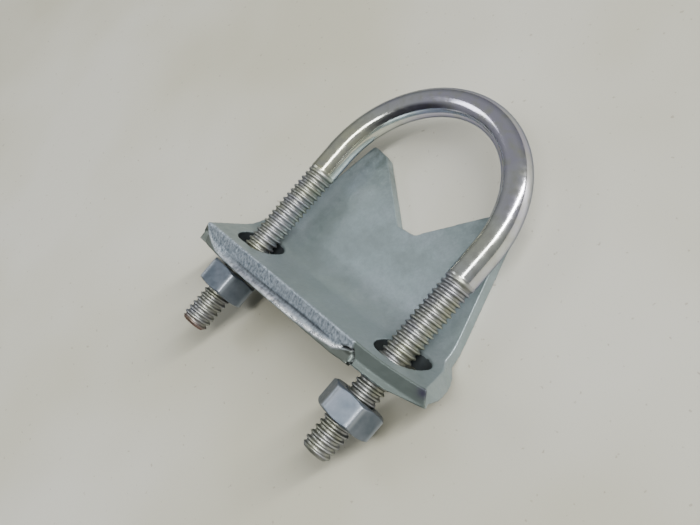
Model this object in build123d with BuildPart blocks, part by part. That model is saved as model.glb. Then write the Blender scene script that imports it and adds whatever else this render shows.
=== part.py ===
"""U-bolt tube clamp: a threaded U-bolt, a one-piece V-notch bracket and two hex nuts.

The clamp lies on the flat back of the bracket's V plate. +Z is up, +Y points from the
threaded ends towards the arch, and X runs from leg to leg. The origin is at the centre
of the footprint, on the surface that the clamp lies on. Lengths are in millimetres.
"""

import math
import os

from build123d import *

# U-bolt: 1/4-20 thread, legs 47.6 mm apart on centres
ROD_D = 6.2
THREAD_D = 6.3
THREAD_PITCH = 1.27
THREAD_DEPTH = 0.72
CREST_FLAT = 0.2
LEG_SPACING = 47.6
LEFT_LEG = 50.2
RIGHT_LEG = 48.6
LEFT_PLAIN = 5.5
RIGHT_PLAIN = 6.5
END_CHAMFER = 0.9

# Hex nuts, 7/16 in across flats
NUT_AF = 11.11
NUT_H = 5.56
NUT_BORE_D = 6.4
NUT_SINK_D = 7.3
NUT_TOP_TO_ARCH = 35.5
NUT_CHAMFER_ANGLE = 30.0
LEFT_NUT_TURN = 46.0
RIGHT_NUT_TURN = 50.0

# Bracket plate: a V plate lying flat and a slotted flange bent up from it
PLATE_T = 3.0
BEND_TURN = 60.0
BEND_R = 8.0
FLANGE_L = 14.05
SLOT_W = 8.7
SLOT_L = 11.9
SLOT_R = 4.2
SLOT_X = 24.35
SLOT_UP = 6.65
SLOT_LEAN = 0.33
TIP_Y = 30.2
BEND_APEX_TO_ARCH = 22.15
BRACKET_SHIFT = 0.37
BRACKET_SKEW = 2.7
ROD_GAP = 2.4

# Plan outline of the plate, in the bracket's own axes: wide flange, tapering V plate, V notch
OUTLINE = (
    (-37.3, -20.0),
    (-37.3, -8.8),
    (-35.1, -6.9),
    (-34.9, -1.6),
    (-34.4, 1.2),
    (-28.9, 4.4),
    (-21.4, 30.2),
    (-16.5, 29.4),
    (-1.2, 17.4),
    (4.0, 17.6),
    (16.5, 29.4),
    (21.4, 30.2),
    (29.6, 0.6),
    (31.6, -0.9),
    (36.6, -5.6),
    (37.4, -8.0),
    (37.4, -20.0),
)
OUTLINE_R = 0.9
OUTLINE_R_ABOVE_Y = 10.0
OUTLINE_DEPTH = 30.0
BEVEL_SIZE = 60.0

# The flange's free edge: a lip hangs from it, deeper on the left part, and the right part bows up
LIP_T = 1.5
LEFT_LIP_H = 2.2
RIGHT_LIP_H = 1.3
LIP_START = -38.0
LIP_STEP = 18.3
BOW_R = 125.0
BOW_ARC = 9.8

# The bevel under the right corner: (x, depth under the front face, distance up the flange)
BEVEL = ((24.5, 4.9, 14.0), (37.4, 1.9, 14.0), (37.4, 3.2, 9.0))

# Place of the arch centre in the frame
ARCH_X = -0.83
ARCH_Y = (LEFT_LEG - LEG_SPACING / 2 - ROD_D / 2) / 2
ARCH_Z = PLATE_T + ROD_GAP + ROD_D / 2

# Derived sizes
LEG_X = LEG_SPACING / 2
ROD_R = ROD_D / 2
CREST_R = THREAD_D / 2
ROOT_R = CREST_R - THREAD_DEPTH
TURN = math.radians(BEND_TURN)
SKEW = math.radians(BRACKET_SKEW)
NUT_CORNER_R = NUT_AF / 2 / math.cos(math.radians(30))
NUT_CHAMFER_H = (NUT_CORNER_R - NUT_AF / 2) * math.tan(math.radians(NUT_CHAMFER_ANGLE))

os.makedirs("parts", exist_ok=True)


# ---- U-bolt: a bent shank, then each leg turned with one ridge for each thread pitch ----
def thread_profile(length):
    """Half section of a threaded leg as (radius, height) points, from its end to the shank."""
    points = [(0, 0), (ROOT_R, 0)]
    flank = THREAD_PITCH / 2 - CREST_FLAT
    ridge = END_CHAMFER
    for _ in range(int((length - END_CHAMFER) / THREAD_PITCH)):
        points.append((CREST_R, ridge))
        points.append((CREST_R, ridge + CREST_FLAT))
        points.append((ROOT_R, ridge + CREST_FLAT + flank))
        points.append((ROOT_R, ridge + 2 * CREST_FLAT + flank))
        ridge += THREAD_PITCH
    return points + [(CREST_R, ridge), (ROD_R, length), (0, length)]


with BuildPart() as u_bolt:
    with BuildLine(Plane.XY.offset(ARCH_Z)) as rod_path:
        right_shank = Line((ARCH_X + LEG_X, ARCH_Y - RIGHT_PLAIN), (ARCH_X + LEG_X, ARCH_Y))
        arch = RadiusArc(right_shank @ 1, (ARCH_X - LEG_X, ARCH_Y), -LEG_X)
        Line(arch @ 1, (ARCH_X - LEG_X, ARCH_Y - LEFT_PLAIN))
    with BuildSketch(Plane(right_shank @ 0, z_dir=(0, 1, 0))):
        Circle(ROD_R)
    sweep(path=rod_path.wires()[0])
    for x, leg, plain in (
        (ARCH_X - LEG_X, LEFT_LEG, LEFT_PLAIN),
        (ARCH_X + LEG_X, RIGHT_LEG, RIGHT_PLAIN),
    ):
        with BuildSketch(Plane((x, ARCH_Y - leg, ARCH_Z))):
            with BuildLine():
                Polyline(*thread_profile(leg - plain), close=True)
            make_face()
        revolve(axis=Axis((x, 0, ARCH_Z), (0, 1, 0)))

u_bolt.part.label = "u_bolt"
export_step(u_bolt.part, "parts/u_bolt.step")


# ---- Bracket. Its own axes: x across, y up the V plate, z out of the V plate's front ----
bracket = Plane(
    origin=(ARCH_X + BRACKET_SHIFT, ARCH_Y - BEND_APEX_TO_ARCH, PLATE_T),
    x_dir=(math.cos(SKEW), math.sin(SKEW), 0),
    z_dir=(0, 0, 1),
)
slot_face = Plane(
    origin=bracket.origin,
    x_dir=bracket.x_dir,
    z_dir=bracket.y_dir * math.sin(TURN) + bracket.z_dir * math.cos(TURN),
)
slot_lean = slot_face.z_dir + slot_face.y_dir * SLOT_LEAN

# Cross-section corners as (y, z) in the bracket's axes
edge_top = (-FLANGE_L * math.cos(TURN), FLANGE_L * math.sin(TURN))
edge_under = (edge_top[0] - PLATE_T * math.sin(TURN), edge_top[1] - PLATE_T * math.cos(TURN))
bend_under = (-PLATE_T * math.tan(TURN / 2), -PLATE_T)
lip_bottom = edge_under[1] - LIP_T


def profile_plane(x):
    """Plane of the bracket's cross-section at x; its axes are the bracket's y and z."""
    origin = bracket.from_local_coords(Vector(x, 0, 0))
    return Plane(origin, x_dir=bracket.y_dir, z_dir=bracket.x_dir)


def bent_section():
    """Draw the outline of the bent plate's cross-section."""
    front = FilletPolyline((TIP_Y, 0), (0, 0), edge_top, radius=BEND_R)
    back = FilletPolyline((TIP_Y, -PLATE_T), bend_under, edge_under, radius=BEND_R + PLATE_T)
    Line(front @ 0, back @ 0)
    Line(front @ 1, back @ 1)


def lip_section(height):
    """Draw the outline of the lip under the flange's free edge."""
    Polyline(
        edge_under,
        (edge_under[0] - height, edge_under[1]),
        (edge_under[0] - height, lip_bottom),
        (edge_under[0] + LIP_T / math.tan(TURN), lip_bottom),
        close=True,
    )


def bevel_plane():
    """Plane of the bevel, facing out of the bracket's underside."""
    a, b, c = (slot_face.from_local_coords(Vector(x, -up, -depth)) for x, depth, up in BEVEL)
    return Plane(a, x_dir=b - a, z_dir=(c - a).cross(b - a))


with BuildPart() as clamp_bracket:
    with BuildSketch(profile_plane(LIP_START)):
        with BuildLine():
            bent_section()
        make_face()
        with BuildLine():
            lip_section(LEFT_LIP_H)
        make_face()
    extrude(amount=LIP_STEP - LIP_START)
    with BuildSketch(profile_plane(LIP_STEP)):
        with BuildLine():
            bent_section()
        make_face()
        with BuildLine():
            lip_section(RIGHT_LIP_H)
        make_face()
    revolve(
        axis=Axis(bracket.from_local_coords(Vector(LIP_STEP, BOW_R, 0)), (0, 0, 1)),
        revolution_arc=BOW_ARC,
    )
    with BuildSketch(bracket.offset(-PLATE_T)):
        with BuildLine():
            Polyline(*OUTLINE, close=True)
        make_face()
        corners = vertices().filter_by(lambda v: v.Y > OUTLINE_R_ABOVE_Y)
        fillet(corners, radius=OUTLINE_R)
    extrude(amount=OUTLINE_DEPTH, mode=Mode.INTERSECT)
    with BuildSketch(slot_face):
        with Locations((-SLOT_X, -SLOT_UP), (SLOT_X, -SLOT_UP)):
            RectangleRounded(SLOT_L, SLOT_W, SLOT_R)
    extrude(amount=2 * PLATE_T, dir=slot_lean, both=True, mode=Mode.SUBTRACT)
    with BuildSketch(bevel_plane()):
        Rectangle(BEVEL_SIZE, BEVEL_SIZE)
    extrude(amount=PLATE_T, mode=Mode.SUBTRACT)

clamp_bracket.part.label = "clamp_bracket"
export_step(clamp_bracket.part, "parts/clamp_bracket.step")


# ---- Nuts: a hex prism, both ends chamfered, with a clearance bore over the leg's crests ----
nut_profile = (
    (NUT_BORE_D / 2, (NUT_SINK_D - NUT_BORE_D) / 2),
    (NUT_SINK_D / 2, 0),
    (NUT_AF / 2, 0),
    (NUT_CORNER_R, NUT_CHAMFER_H),
    (NUT_CORNER_R, NUT_H - NUT_CHAMFER_H),
    (NUT_AF / 2, NUT_H),
    (NUT_SINK_D / 2, NUT_H),
    (NUT_BORE_D / 2, NUT_H - (NUT_SINK_D - NUT_BORE_D) / 2),
)


def nut_plane(x, turn):
    """Plane of a nut's top face, facing down the leg at x; its x axis points at a corner."""
    corner = (math.sin(math.radians(turn)), 0, math.cos(math.radians(turn)))
    return Plane((x, ARCH_Y - NUT_TOP_TO_ARCH, ARCH_Z), x_dir=corner, z_dir=(0, -1, 0))


left_top = nut_plane(ARCH_X - LEG_X, LEFT_NUT_TURN)
right_top = nut_plane(ARCH_X + LEG_X, RIGHT_NUT_TURN)

with BuildPart() as left_nut:
    with BuildSketch(left_top):
        RegularPolygon(NUT_CORNER_R, 6)
    extrude(amount=NUT_H)
    with BuildSketch(Plane(left_top.origin, x_dir=left_top.x_dir, z_dir=-left_top.y_dir)):
        with BuildLine():
            Polyline(*nut_profile, close=True)
        make_face()
    revolve(axis=Axis(left_top.origin, left_top.z_dir), mode=Mode.INTERSECT)

left_nut.part.label = "left_nut"
export_step(left_nut.part, "parts/left_nut.step")

with BuildPart() as right_nut:
    with BuildSketch(right_top):
        RegularPolygon(NUT_CORNER_R, 6)
    extrude(amount=NUT_H)
    with BuildSketch(Plane(right_top.origin, x_dir=right_top.x_dir, z_dir=-right_top.y_dir)):
        with BuildLine():
            Polyline(*nut_profile, close=True)
        make_face()
    revolve(axis=Axis(right_top.origin, right_top.z_dir), mode=Mode.INTERSECT)

right_nut.part.label = "right_nut"
export_step(right_nut.part, "parts/right_nut.step")
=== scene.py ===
"""Looks for the u-bolt tube clamp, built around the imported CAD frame.

Lengths are metres in the CAD frame, unless a name says mm. The bracket's flat back lies on the
floor at Z = 0, +Y runs along the legs towards the arch, and the camera looks down from above the
right leg's side.
"""

import math

import bmesh
import bpy
import numpy as np
from mathutils import Matrix, Vector


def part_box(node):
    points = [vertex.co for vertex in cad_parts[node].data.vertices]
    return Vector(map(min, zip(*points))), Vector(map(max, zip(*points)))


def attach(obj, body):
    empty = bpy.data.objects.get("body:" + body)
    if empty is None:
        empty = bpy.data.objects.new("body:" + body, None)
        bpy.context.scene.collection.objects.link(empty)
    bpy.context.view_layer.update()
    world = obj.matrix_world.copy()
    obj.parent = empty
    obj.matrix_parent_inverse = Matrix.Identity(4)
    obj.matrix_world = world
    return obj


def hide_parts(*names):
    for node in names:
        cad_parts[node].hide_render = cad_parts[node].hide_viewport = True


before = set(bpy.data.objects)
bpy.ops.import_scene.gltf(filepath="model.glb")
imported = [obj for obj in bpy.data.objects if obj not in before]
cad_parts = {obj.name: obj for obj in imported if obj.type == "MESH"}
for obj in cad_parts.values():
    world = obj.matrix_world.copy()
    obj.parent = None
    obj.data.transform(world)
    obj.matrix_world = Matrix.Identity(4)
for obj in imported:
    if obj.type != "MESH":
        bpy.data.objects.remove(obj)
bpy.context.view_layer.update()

MM = 0.001

# U-bolt, in mm
ROD_R = 3.1
CREST_R = 3.13
ROOT_R = 2.62
PITCH = 1.27
LEG_SPACING = 47.6
LEFT_PLAIN = 5.5
RIGHT_PLAIN = 6.5
RIGHT_LEG = 48.6
END_CHAMFER = 0.9
CREST_FLAT = 0.2
ROOT_FLAT = 0.3
RUNOUT = 1.6 * PITCH
END_INSET = 0.15
CHAMFER_RISE = 0.75
END_STAIN = 1.6
THREAD_STEP = PITCH / 14
PLAIN_STEP = 0.55
RING_POINTS = 64

# Nuts, in mm
NUT_AF = 11.11
NUT_BORE_R = 3.2
NUT_SINK_R = 3.65
CHAMFER_SLOPE = math.tan(math.radians(30))
LEFT_NUT_TURN = math.radians(46)
RIGHT_NUT_TURN = math.radians(50)
NUT_POINTS = 168
CONE_R = NUT_AF / 2 * 0.975
CORNER_CUT = 0.1
CORNER_BLEND = 0.25
CONE_BLEND = 0.12
SINK_EDGE = 0.03
SINK_RIM_R = NUT_SINK_R + 0.08
FACE_RINGS = (4.1, 4.6, 5.0, 5.25)
SIDE_RINGS = (0.0, 0.02, 0.06, 0.12, 0.18, 0.25, 0.32, 0.4, 0.48, 0.56, 0.66, 0.8, 1.1, 1.6, 2.2)
BORE_RINGS = (0.7, 0.5, 0.3)

# Bracket, in mm in its own axes: x across, y up the V plate, z out of its front
PLATE_T = 3.0
TURN = math.radians(60)
SKEW = math.radians(2.7)
SHIFT_X = 0.37
APEX_TO_ARCH = 22.15
FLANGE_L = 14.05
LIP_STEP = 18.3
BOW_R = 125.0
VOXEL = 0.2
SLOT_X = 24.35
SLOT_REACH = 6.5
SLOT_OUT_LOW = 1.5
SLOT_OUT_HIGH = 12.3
WALL_TOP = 0.12
WALL_BOTTOM = 2.9

u_low, u_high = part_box("u_bolt")
AXIS_X = (u_low.x + u_high.x) / 2 / MM
ARCH_Y = u_high.y / MM - ROD_R - LEG_SPACING / 2
ARCH_Z = (u_low.z + u_high.z) / 2 / MM
LEFT_LEG = ARCH_Y - u_low.y / MM
ARCH_R = LEG_SPACING / 2

rng = np.random.default_rng(7)


# ---- Mesh helpers ----
def add_object(name, mesh, body, node):
    """Adds a mesh that rides on a body in place of a CAD node."""
    for polygon in mesh.polygons:
        polygon.use_smooth = True
    piece = bpy.data.objects.new(name, mesh)
    bpy.context.scene.collection.objects.link(piece)
    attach(piece, body)
    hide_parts(node)
    return piece


def ring_mesh(name, rings, loop=False):
    """A closed mesh from rings (rows, points, xyz) in mm, capped or joined end to end."""
    rows, count = rings.shape[:2]
    spans = rows if loop else rows - 1
    i = np.arange(spans)[:, None]
    j = np.arange(count)[None, :]
    near = i * count
    far = (i + 1) % rows * count
    step = (j + 1) % count
    quads = np.stack([near + j, near + step, far + step, far + j], axis=-1).reshape(-1, 4)
    faces = quads.tolist()
    if not loop:
        faces.append(list(range(count)))
        faces.append(list(range((rows - 1) * count, rows * count)))
    mesh = bpy.data.meshes.new(name)
    mesh.from_pydata((rings.reshape(-1, 3) * MM).tolist(), [], faces)
    work = bmesh.new()
    work.from_mesh(mesh)
    bmesh.ops.recalc_face_normals(work, faces=work.faces)
    work.to_mesh(mesh)
    work.free()
    return mesh


def set_mask(mesh, name, values):
    """Stores a 0 to 1 value for each vertex, which a material reads by name."""
    layer = mesh.attributes.new(name, "FLOAT", "POINT")
    layer.data.foreach_set("value", np.asarray(values, np.float32).ravel())


def smoothstep(value, low, high):
    t = np.clip((value - low) / (high - low), 0, 1)
    return t * t * (3 - 2 * t)


def smooth_min(a, b, width):
    blend = np.clip(0.5 + 0.5 * (b - a) / width, 0, 1)
    return b + (a - b) * blend - width * blend * (1 - blend)


def ripple(points, size, waves=24):
    """Smooth random values, about -1 to 1, that change over a distance of about size."""
    directions = rng.normal(size=(waves, 3))
    phases = rng.uniform(0, 2 * math.pi, waves)
    total = np.zeros(len(points))
    for direction, phase in zip(directions, phases):
        total += np.cos(points @ direction * (2.5 / size) + phase)
    return total * math.sqrt(2 / waves) * 0.6


# ---- U-bolt: one rod swept round the arch, with a true right-hand thread on both legs ----
arch_length = math.pi * ARCH_R
rod_length = LEFT_LEG + arch_length + RIGHT_LEG
left_thread = LEFT_LEG - LEFT_PLAIN
right_thread = RIGHT_LEG - RIGHT_PLAIN


def rod_point(s):
    """Centre, outward and tangent of the rod's axis at distance s from the left leg's end."""
    if s < LEFT_LEG:
        return (AXIS_X - ARCH_R, ARCH_Y - LEFT_LEG + s), (-1.0, 0.0)
    if s < LEFT_LEG + arch_length:
        turn = math.pi - (s - LEFT_LEG) / ARCH_R
        outward = (math.cos(turn), math.sin(turn))
        return (AXIS_X + ARCH_R * outward[0], ARCH_Y + ARCH_R * outward[1]), outward
    return (AXIS_X + ARCH_R, ARCH_Y - (s - LEFT_LEG - arch_length)), (1.0, 0.0)


stations = np.concatenate(
    [
        np.arange(0, left_thread + 0.5, THREAD_STEP),
        np.arange(left_thread + 0.6, rod_length - right_thread - 0.5, PLAIN_STEP),
        np.arange(rod_length - right_thread - 0.5, rod_length, THREAD_STEP),
        [rod_length],
    ]
)
theta = np.linspace(0, 2 * math.pi, RING_POINTS, endpoint=False)
s_grid, theta_grid = np.meshgrid(stations, theta, indexing="ij")
from_end = np.minimum(s_grid, rod_length - s_grid)
thread_length = np.where(s_grid < rod_length / 2, left_thread, right_thread)
phase = np.mod(s_grid / PITCH - theta_grid / (2 * math.pi), 1.0)
height = np.abs(phase - 0.5) * 2
height = np.clip((height - ROOT_FLAT) / (1 - ROOT_FLAT - CREST_FLAT), 0, 1)
cut = (1 - height) * smoothstep(thread_length - from_end, 0, RUNOUT)
radius = np.where(from_end < thread_length, CREST_R, ROD_R) - (CREST_R - ROOT_R) * cut
radius = np.minimum(radius, ROOT_R - END_INSET + from_end * CHAMFER_RISE / END_CHAMFER)

centres = np.array([rod_point(s)[0] for s in stations])
outwards = np.array([rod_point(s)[1] for s in stations])
rings = np.zeros(radius.shape + (3,))
rings[..., 0] = centres[:, None, 0] + radius * np.cos(theta_grid) * outwards[:, None, 0]
rings[..., 1] = centres[:, None, 1] + radius * np.cos(theta_grid) * outwards[:, None, 1]
rings[..., 2] = ARCH_Z + radius * np.sin(theta_grid)

rod_mesh = ring_mesh("u_bolt_rod", rings)
set_mask(rod_mesh, "thread", smoothstep(thread_length - from_end, -0.3, 0.8))
# This mask carries painted shade on the thread flanks
set_mask(rod_mesh, "flank_painted_shade", 1 - np.abs(2 * cut - 1))
set_mask(rod_mesh, "groove", cut)
left_half = s_grid < rod_length / 2
set_mask(rod_mesh, "leg_end", smoothstep(END_STAIN - from_end, 0, END_STAIN) * left_half)
u_bolt = add_object("u_bolt_rod", rod_mesh, "u_bolt", "u_bolt")


# ---- Nuts: hex with coned faces, rounded edges and a countersunk bore ----
def nut_mesh(name, node, turn):
    """A nut in its CAD node's place, with its hex turned about the leg."""
    low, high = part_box(node)
    centre = Vector((low.x + high.x, low.y + high.y, low.z + high.z)) / 2 / MM
    tall = (high.y - low.y) / MM
    angle = np.linspace(0, 2 * math.pi, NUT_POINTS, endpoint=False)
    across = np.mod(angle - turn, math.pi / 3) - math.pi / 6
    corner = NUT_AF / 2 / math.cos(math.pi / 6) - CORNER_CUT
    hexagon = smooth_min(NUT_AF / 2 / np.cos(across), corner, CORNER_BLEND)
    rise = np.array(SIDE_RINGS)
    depths = np.concatenate([rise, [tall / 2], tall - rise[::-1]])
    # Each ring is a radius and a depth, and the rings with no radius follow the hex
    rows = [(NUT_BORE_R, NUT_SINK_R - NUT_BORE_R), (NUT_SINK_R, SINK_EDGE), (SINK_RIM_R, 0)]
    rows += [(r, 0) for r in FACE_RINGS]
    rows += [(None, d) for d in depths]
    rows += [(r, tall) for r in reversed(FACE_RINGS)]
    rows += [(SINK_RIM_R, tall), (NUT_SINK_R, tall - SINK_EDGE)]
    rows += [(NUT_BORE_R, tall - NUT_SINK_R + NUT_BORE_R)]
    rows += [(NUT_BORE_R, tall * k) for k in BORE_RINGS]
    rings = np.zeros((len(rows), len(angle), 3))
    for i, (r, d) in enumerate(rows):
        if r is None:
            cone = CONE_R + min(d, tall - d) / CHAMFER_SLOPE
            r = smooth_min(hexagon, np.full(len(angle), cone), CONE_BLEND)
        rings[i, :, 0] = centre.x + r * np.sin(angle)
        rings[i, :, 1] = centre.y + tall / 2 - d
        rings[i, :, 2] = centre.z + r * np.cos(angle)
    mesh = ring_mesh(name, rings, loop=True)
    points = np.array([v.co for v in mesh.vertices]) / MM
    reach = np.hypot(points[:, 0] - centre.x, points[:, 2] - centre.z)
    set_mask(mesh, "corner", smoothstep(reach, NUT_AF / 2 + 0.35, NUT_AF / 2 + 0.75))
    return mesh


for node, turn in (("left_nut", LEFT_NUT_TURN), ("right_nut", RIGHT_NUT_TURN)):
    add_object(node + "_body", nut_mesh(node + "_body", node, turn), node, node)


# ---- Bracket: the CAD shape as a fine mesh, with its sheared edge and wear sculpted in ----
apex = np.array([AXIS_X + SHIFT_X, ARCH_Y - APEX_TO_ARCH, PLATE_T])
bracket_x = np.array([math.cos(SKEW), math.sin(SKEW), 0])
bracket_y = np.array([-math.sin(SKEW), math.cos(SKEW), 0])
bracket_z = np.array([0.0, 0.0, 1.0])
along_flange = -math.cos(TURN) * bracket_y + math.sin(TURN) * bracket_z

# The line where the sheared face ends, the crease in it and the crack beside its step, in mm:
# x across the bracket, and the distance down from the flange's upper face
RIM_X = (-36, -35.5, -34, -31.7, -29.1, -25.8, -19.3, -10.8, -4.2, 2, 8.5, 14.1, 15.6, 17, 18.4)
RIM_DOWN = (0.2, 0.7, 2.8, 3.6, 4.3, 4.6, 4.75, 4.7, 4.6, 4.5, 4.2, 3.7, 3.1, 2.4, 1.8)
CREASE_X = (-16.0, -6.0, 1.0, 9.0)
CREASE_DOWN = (3.45, 3.3, 3.1, 3.0)
CRACK = ((16.0, 2.5), (17.4, 2.0), (18.5, 1.9), (19.2, 3.1), (19.5, 4.4))


def line_distance(x, y, line):
    """Distance of each (x, y) from a line of points."""
    nearest = np.full(len(x), 1e9)
    for (x0, y0), (x1, y1) in zip(line, line[1:]):
        span = (x1 - x0) ** 2 + (y1 - y0) ** 2
        t = np.clip(((x - x0) * (x1 - x0) + (y - y0) * (y1 - y0)) / span, 0, 1)
        nearest = np.minimum(nearest, np.hypot(x - x0 - t * (x1 - x0), y - y0 - t * (y1 - y0)))
    return nearest


source = bpy.data.objects.new("source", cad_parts["clamp_bracket"].data.copy())
bpy.context.scene.collection.objects.link(source)
remesh = source.modifiers.new("remesh", "REMESH")
remesh.mode = "VOXEL"
remesh.voxel_size = VOXEL * MM
smooth = source.modifiers.new("smooth", "SMOOTH")
smooth.factor = 0.5
smooth.iterations = 3
depsgraph = bpy.context.evaluated_depsgraph_get()
bracket_mesh = bpy.data.meshes.new_from_object(source.evaluated_get(depsgraph))
bracket_mesh.name = "bracket_plate"
bracket_mesh.materials.clear()
bpy.data.objects.remove(source)

count = len(bracket_mesh.vertices)
points = np.zeros(count * 3)
bracket_mesh.vertices.foreach_get("co", points)
points = points.reshape(-1, 3) / MM
normals = np.zeros(count * 3)
bracket_mesh.vertices.foreach_get("normal", normals)
normals = normals.reshape(-1, 3)

x = (points - apex) @ bracket_x
y = (points - apex) @ bracket_y
z = (points - apex) @ bracket_z
y_straight = y - np.where(x > LIP_STEP, (x - LIP_STEP) ** 2 / (2 * BOW_R), 0)
# How far out along the flange each point is, and how far down from the flange's upper face
out = -math.cos(TURN) * y_straight + math.sin(TURN) * z
down = -math.sin(TURN) * y_straight - math.cos(TURN) * z

edge = smoothstep(out, FLANGE_L - 0.8, FLANGE_L - 0.3)
left_part = smoothstep(LIP_STEP + 0.2 - x, 0, 0.3)
rim = np.interp(x, RIM_X, RIM_DOWN)
crease = np.interp(x, CREASE_X, CREASE_DOWN)
crease_part = smoothstep(x, -30, -18) * smoothstep(13 - x, 0, 4)
beyond = np.clip(down - rim, 0, 2.5) * left_part * edge
rim_line = np.exp(-(((down - rim + 0.25) / 0.34) ** 2)) * left_part * edge
crease_line = np.exp(-(((down - crease) / 0.3) ** 2)) * crease_part * edge
crack_line = np.exp(-((line_distance(x, down, CRACK) / 0.28) ** 2)) * edge

shift = 0.14 * rim_line - 0.4 * beyond - 0.3 * crease_line - 0.9 * crack_line
shift -= 0.45 * (1 - left_part) * edge
points += shift[:, None] * along_flange
points += (0.02 * ripple(points, 5.0) + 0.012 * ripple(points, 1.6) - 0.02)[:, None] * normals
points[:, 2] = np.maximum(points[:, 2], 0)
bracket_mesh.vertices.foreach_set("co", (points * MM).ravel())
bracket_mesh.update()

plate_axes = bracket_mesh.attributes.new("plate_axes", "FLOAT_VECTOR", "POINT")
axes_values = (np.stack([x, down, out], axis=1) * MM).astype(np.float32)
plate_axes.data.foreach_set("vector", axes_values.ravel())
set_mask(bracket_mesh, "sheared", edge * left_part * smoothstep(rim - down, -0.1, 0.25))
lower = smoothstep(down - crease, 0.1, 0.5) * smoothstep(rim - down, 0, 0.3) * crease_part * edge
# A dark purple spot on the flange's right corner
corner_spot = np.exp(-(((x - 36.2) / 1.3) ** 2) - ((down - 0.9) / 1.0) ** 2) * edge
# Painted highlight: the raised burr along the rim is real shape, and its near-white colour is
# painted light, fading towards the left
rim_highlight_fade = smoothstep(x, -38, -34) * (0.3 + 0.7 * smoothstep(x, -15, -3))
set_mask(bracket_mesh, "rim", rim_line * rim_highlight_fade)
set_mask(bracket_mesh, "lower", lower * (1 - 0.6 * smoothstep(x, -6, 4)))
set_mask(bracket_mesh, "corner_spot", corner_spot)
# Painted shade: darker near the bend and the flange, and over the left side, where the left
# leg's soft shadow falls
left_painted_shade = 0.8 * smoothstep(-x - 0.3 * y, 6, 22)
set_mask(bracket_mesh, "bend_and_left_painted_shade", np.maximum(smoothstep(-y, -7, 1), left_painted_shade))
# Painted shade on the facets beyond the rim, which face away from the lamps
set_mask(bracket_mesh, "facet_painted_shade", np.clip(beyond * 2.5, 0, 1))
# Painted shade: near black in the crease and the crack, where shade falls in them
set_mask(bracket_mesh, "crease_and_crack_painted_shade", np.clip(crack_line * 1.3 + crease_line * 0.8, 0, 1))
# Painted shade on the set-back end face right of the lip step
set_mask(bracket_mesh, "right_end_painted_shade", edge * (1 - left_part))
set_mask(bracket_mesh, "tips", smoothstep(y, 17, 31))
slot_wall = (np.abs(np.abs(x) - SLOT_X) < SLOT_REACH) & (down > WALL_TOP) & (down < WALL_BOTTOM)
slot_wall &= (out > SLOT_OUT_LOW) & (out < SLOT_OUT_HIGH)
set_mask(bracket_mesh, "slot_wall", slot_wall)
bracket = add_object(
    "bracket_plate", bracket_mesh, "clamp_bracket", "clamp_bracket"
)


# ---- Materials ----
class Material:
    """A node material with short calls for the nodes that the metals share."""

    def __init__(self, name, metallic):
        self.material = bpy.data.materials.new(name)
        self.material.use_nodes = True
        self.nodes = self.material.node_tree.nodes
        self.links = self.material.node_tree.links
        self.shader = self.nodes["Principled BSDF"]
        self.coords = self.nodes.new("ShaderNodeTexCoord").outputs["Object"]
        self.shader.inputs["Metallic"].default_value = metallic

    def put(self, value, socket):
        """Links a node's output to a socket, or sets the socket to a plain value."""
        if isinstance(value, bpy.types.NodeSocket):
            self.links.new(value, socket)
        else:
            socket.default_value = value

    def noise(self, per_mm, detail=3.0, stretch=(1, 1, 1), rough=0.5):
        """Noise whose features are about 1 / per_mm millimetres."""
        mapping = self.nodes.new("ShaderNodeMapping")
        mapping.inputs["Scale"].default_value = [per_mm * 1000 * k for k in stretch]
        self.links.new(self.coords, mapping.inputs["Vector"])
        node = self.nodes.new("ShaderNodeTexNoise")
        node.inputs["Scale"].default_value = 1.0
        node.inputs["Detail"].default_value = detail
        node.inputs["Roughness"].default_value = rough
        self.links.new(mapping.outputs["Vector"], node.inputs["Vector"])
        return node.outputs["Fac"]

    def mask(self, name):
        node = self.nodes.new("ShaderNodeAttribute")
        node.attribute_name = name
        return node.outputs["Fac"]

    def ramp(self, value, stops):
        """Colours between (position, colour) stops."""
        node = self.nodes.new("ShaderNodeValToRGB")
        elements = node.color_ramp.elements
        while len(elements) < len(stops):
            elements.new(0.5)
        for element, (position, color) in zip(elements, stops):
            element.position = position
            element.color = (*color, 1)
        self.put(value, node.inputs["Fac"])
        return node.outputs["Color"]

    def mix(self, factor, a, b):
        """Colour a where factor is 0 and colour b where it is 1."""
        node = self.nodes.new("ShaderNodeMix")
        node.data_type = "RGBA"
        self.put(factor, node.inputs["Factor"])
        self.put(a if isinstance(a, bpy.types.NodeSocket) else (*a, 1), node.inputs["A"])
        self.put(b if isinstance(b, bpy.types.NodeSocket) else (*b, 1), node.inputs["B"])
        return node.outputs["Result"]

    def math(self, operation, a, b, clamp=False):
        node = self.nodes.new("ShaderNodeMath")
        node.operation = operation
        node.use_clamp = clamp
        self.put(a, node.inputs[0])
        self.put(b, node.inputs[1])
        return node.outputs[0]

    def fit(self, value, low, high, to_low=0.0, to_high=1.0):
        """Maps low..high to to_low..to_high, and stops at the ends."""
        node = self.nodes.new("ShaderNodeMapRange")
        self.put(value, node.inputs["Value"])
        limits = {"From Min": low, "From Max": high, "To Min": to_low, "To Max": to_high}
        for name, number in limits.items():
            self.put(number, node.inputs[name])
        return node.outputs["Result"]

    def bump(self, height, distance_mm, strength, under=None):
        node = self.nodes.new("ShaderNodeBump")
        node.inputs["Distance"].default_value = distance_mm * MM
        self.put(strength, node.inputs["Strength"])
        self.put(height, node.inputs["Height"])
        if under is not None:
            self.links.new(under, node.inputs["Normal"])
        return node.outputs["Normal"]

    def finish(self, piece, color, roughness, normal):
        self.put(color, self.shader.inputs["Base Color"])
        self.put(roughness, self.shader.inputs["Roughness"])
        self.put(normal, self.shader.inputs["Normal"])
        piece.data.materials.append(self.material)
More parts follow.
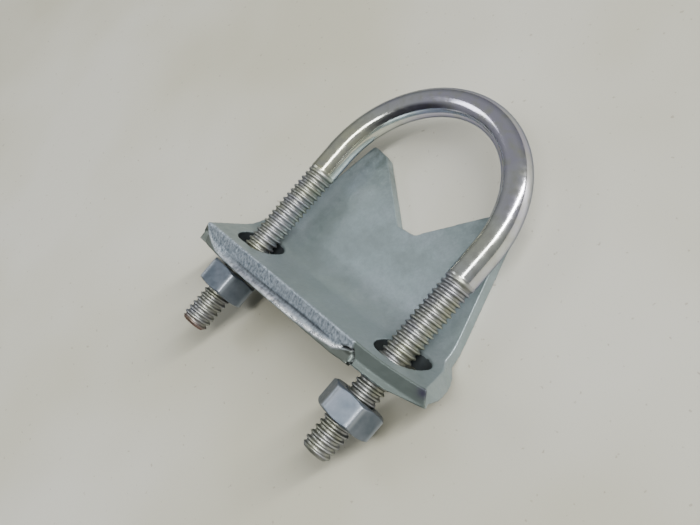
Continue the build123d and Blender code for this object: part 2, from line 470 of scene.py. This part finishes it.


# Rod: bright zinc with a warm, faintly iridescent cast, duller in the threads, flanks painted in
# shade
rod = Material("rod_zinc", 1.0)
cast = rod.ramp(
    rod.noise(0.045, 1.0),
    [(0.36, (0.70, 0.69, 0.49)), (0.5, (0.68, 0.70, 0.68)), (0.6, (0.57, 0.55, 0.68))],
)
plain = rod.mix(rod.fit(rod.noise(0.5, 4.0), 0.45, 0.75), cast, (0.56, 0.56, 0.53))
patches = rod.fit(rod.noise(0.2, 3.0), 0.38, 0.62)
thread_color = rod.mix(patches, (0.40, 0.41, 0.33), (0.37, 0.375, 0.41))
groove = rod.math("MULTIPLY", rod.mask("groove"), 0.35)
thread_color = rod.mix(groove, thread_color, (0.26, 0.26, 0.24))
# Painted shade: the thread flanks are darkened so that crests and roots read as bright lines
flank_painted_shade = rod.math("MULTIPLY", rod.mask("flank_painted_shade"), 0.6)
thread_color = rod.mix(flank_painted_shade, thread_color, (0.19, 0.19, 0.175))
rod_color = rod.mix(rod.mask("thread"), plain, thread_color)
rust = rod.math("MULTIPLY", rod.mask("leg_end"), 0.7)
rod_color = rod.mix(rust, rod_color, (0.22, 0.09, 0.06))
rod_rough = rod.fit(rod.noise(0.9, 4.0), 0.3, 0.7, 0.11, 0.2)
rod_rough = rod.math("ADD", rod_rough, rod.math("MULTIPLY", rod.mask("thread"), 0.3))
rod_normal = rod.bump(rod.noise(1.5, 3.0), 0.02, 0.12)
rod.shader.inputs["Specular Tint"].default_value = (0.26, 0.29, 0.38, 1)
rod.finish(u_bolt, rod_color, rod_rough, rod_normal)

# Nuts: dull blue-grey zinc with brighter corners
for node in ("left_nut", "right_nut"):
    nut = Material(node + "_zinc", 0.8)
    tone = nut.ramp(
        nut.noise(0.3, 4.0), [(0.35, (0.105, 0.13, 0.165)), (0.65, (0.165, 0.19, 0.235))]
    )
    wear = nut.math("MULTIPLY", nut.mask("corner"), 0.6)
    nut_color = nut.mix(wear, tone, (0.42, 0.46, 0.52))
    nut_rough = nut.fit(nut.noise(1.5, 4.0), 0.3, 0.7, 0.32, 0.48)
    nut_normal = nut.bump(nut.noise(1.5, 5.0), 0.05, 0.4)
    nut.finish(bpy.data.objects[node + "_body"], nut_color, nut_rough, nut_normal)

# Bracket: satin mottled zinc, a bright grainy sheared edge, facets and creases painted dark as
# shade
plate = Material("bracket_zinc", 0.75)
cloud = plate.noise(0.09, 3.0, rough=0.6)
tone = plate.ramp(
    cloud,
    [(0.3, (0.235, 0.285, 0.30)), (0.5, (0.30, 0.365, 0.395)), (0.7, (0.35, 0.405, 0.455))],
)
speckle = plate.fit(plate.noise(1.6, 5.0, rough=0.75), 0.4, 0.6)
tone = plate.mix(plate.math("MULTIPLY", speckle, 0.35), tone, (0.22, 0.27, 0.28))
# Painted shade over the bend, the flange and the plate's left side
bend_and_left_painted_shade = plate.math("MULTIPLY", plate.mask("bend_and_left_painted_shade"), 0.45)
tone = plate.mix(bend_and_left_painted_shade, tone, (0.205, 0.24, 0.245))
tips = plate.math("MULTIPLY", plate.mask("tips"), plate.fit(plate.noise(0.4, 5.0), 0.35, 0.6))
tone = plate.mix(plate.math("MULTIPLY", tips, 0.6), tone, (0.11, 0.135, 0.135))
# Painted shade on the end face right of the lip step
tone = plate.mix(plate.mask("right_end_painted_shade"), tone, (0.17, 0.205, 0.195))
axes = plate.nodes.new("ShaderNodeAttribute")
axes.attribute_name = "plate_axes"
plate.coords = axes.outputs["Vector"]
grain = plate.fit(plate.noise(1.7, 5.0, stretch=(1, 0.55, 1), rough=0.7), 0.36, 0.66)
bright = plate.mix(grain, (0.15, 0.185, 0.225), (0.52, 0.59, 0.68))
tone = plate.mix(plate.mask("sheared"), tone, bright)
lower_grain = plate.fit(plate.noise(1.0, 4.0), 0.4, 0.6)
lower_tone = plate.mix(lower_grain, (0.10, 0.11, 0.14), (0.33, 0.35, 0.42))
tone = plate.mix(plate.mask("lower"), tone, lower_tone)
# Painted shade on the facets beyond the rim
tone = plate.mix(plate.mask("facet_painted_shade"), tone, (0.15, 0.17, 0.155))
# Painted highlight on the raised rim, near white and broken by noise
rim_breaks = plate.fit(plate.noise(0.7, 3.0), 0.38, 0.55, 0.25, 1.0)
rim_painted_highlight = plate.math("MULTIPLY", plate.mask("rim"), rim_breaks)
tone = plate.mix(rim_painted_highlight, tone, (0.95, 0.97, 1.0))
# Painted shade in the crease and the crack
tone = plate.mix(plate.mask("crease_and_crack_painted_shade"), tone, (0.03, 0.032, 0.036))
# Dark purple spot on the flange's right corner
tone = plate.mix(plate.math("MULTIPLY", plate.mask("corner_spot"), 0.85), tone, (0.06, 0.05, 0.10))
wall_shade = plate.math("MULTIPLY", plate.mask("slot_wall"), 0.85)
tone = plate.mix(wall_shade, tone, (0.03, 0.034, 0.04))
plate_rough = plate.fit(plate.noise(0.7, 4.0), 0.3, 0.7, 0.38, 0.52)
polish = plate.math("MULTIPLY", plate.mask("rim"), 0.2)
plate_rough = plate.math("SUBTRACT", plate_rough, polish, True)
plate_normal = plate.bump(plate.noise(0.8, 5.0, rough=0.6), 0.08, 0.3)
grain_strength = plate.math("MULTIPLY", plate.mask("sheared"), 0.9)
plate_normal = plate.bump(grain, 0.12, grain_strength, plate_normal)
plate.finish(bracket, tone, plate_rough, plate_normal)


# ---- Floor: a plain pale table top, far wider than the view ----
HALF = 6.0
floor_mesh = bpy.data.meshes.new("floor")
corners = [(-HALF, -HALF, 0), (HALF, -HALF, 0), (HALF, HALF, 0), (-HALF, HALF, 0)]
floor_mesh.from_pydata(corners, [], [(0, 1, 2, 3)])
floor = bpy.data.objects.new("floor", floor_mesh)
bpy.context.scene.collection.objects.link(floor)
table = Material("table_top", 0.0)
cream = table.fit(table.noise(0.011, 3.0), 0.4, 0.62)
table_color = table.mix(cream, (0.50, 0.49, 0.44), (0.43, 0.415, 0.335))
speck = table.fit(table.noise(0.7, 2.0), 0.69, 0.74)
table_color = table.mix(table.math("MULTIPLY", speck, 0.45), table_color, (0.2, 0.16, 0.12))
table_normal = table.bump(table.noise(1.0, 4.0), 0.05, 0.15)
table.finish(floor, table_color, 0.5, table_normal)


# ---- Camera: the photograph's view, from above the right leg, turned on its side ----
CAMERA_FROM_ARCH = Vector((110.85, -21.14, 124.59))
CAMERA_TURN = (30.93, 29.49, 48.67)
CAMERA_LENS = 41.93
arch_centre = Vector((AXIS_X, ARCH_Y, ARCH_Z))
camera_data = bpy.data.cameras.new("camera")
camera_data.sensor_width = 36.0
camera_data.lens = CAMERA_LENS
camera_data.clip_start = 0.01
camera = bpy.data.objects.new("camera", camera_data)
camera.location = (arch_centre + CAMERA_FROM_ARCH) * MM
camera.rotation_euler = [math.radians(turn) for turn in CAMERA_TURN]
bpy.context.scene.collection.objects.link(camera)
bpy.context.scene.camera = camera


# ---- Light: long lamps on the ceiling of a pale room, with one dark side ----
def strip_lamp(name, start, end, width, power, color):
    """A long lamp between two points in metres, which faces the clamp."""
    start, end = Vector(start), Vector(end)
    data = bpy.data.lights.new(name, "AREA")
    data.shape = "RECTANGLE"
    data.size = (end - start).length
    data.size_y = width
    data.energy = power
    data.color = color
    lamp = bpy.data.objects.new(name, data)
    lamp.location = (start + end) / 2
    back = lamp.location.normalized()
    along = (end - start).normalized()
    side = back.cross(along).normalized()
    along = side.cross(back)
    lamp.rotation_euler = Matrix((along, side, back)).transposed().to_euler()
    bpy.context.scene.collection.objects.link(lamp)


strip_lamp("lamp_right", (0.22, -0.40, 1.0), (0.52, 0.32, 1.0), 0.16, 7.0, (1.0, 1.0, 0.96))
strip_lamp("lamp_right_far", (0.52, 0.32, 1.0), (1.15, 1.85, 1.0), 0.16, 48.0, (1.0, 1.0, 0.96))
strip_lamp("lamp_left", (-1.0, -0.2, 1.0), (-0.92, -0.75, 1.0), 0.4, 4.0, (0.95, 0.98, 1.0))

DARK_SIDE = Vector((0.287, -0.882, 0.375))
ROOM_STRENGTH = 0.44
world = bpy.data.worlds.new("room")
bpy.context.scene.world = world
world.use_nodes = True
room = world.node_tree
direction = room.nodes.new("ShaderNodeTexCoord").outputs["Generated"]
towards_dark = room.nodes.new("ShaderNodeVectorMath")
towards_dark.operation = "DOT_PRODUCT"
towards_dark.inputs[1].default_value = DARK_SIDE.normalized()
room.links.new(direction, towards_dark.inputs[0])
shade = room.nodes.new("ShaderNodeValToRGB")
shade.color_ramp.elements[0].position = 0.66
shade.color_ramp.elements[0].color = (0.84, 0.87, 0.84, 1)
shade.color_ramp.elements[1].position = 0.9
shade.color_ramp.elements[1].color = (0.13, 0.13, 0.15, 1)
room.links.new(towards_dark.outputs["Value"], shade.inputs["Fac"])
parts = room.nodes.new("ShaderNodeSeparateXYZ")
room.links.new(direction, parts.inputs["Vector"])
falloff = room.nodes.new("ShaderNodeMapRange")
for name, number in (("From Min", 0.0), ("From Max", 0.6), ("To Min", 0.6), ("To Max", 1.0)):
    falloff.inputs[name].default_value = number
room.links.new(parts.outputs["Z"], falloff.inputs["Value"])
dimmed = room.nodes.new("ShaderNodeVectorMath")
dimmed.operation = "SCALE"
room.links.new(shade.outputs["Color"], dimmed.inputs["Vector"])
room.links.new(falloff.outputs["Result"], dimmed.inputs["Scale"])
room.links.new(dimmed.outputs["Vector"], room.nodes["Background"].inputs["Color"])
room.nodes["Background"].inputs["Strength"].default_value = ROOM_STRENGTH
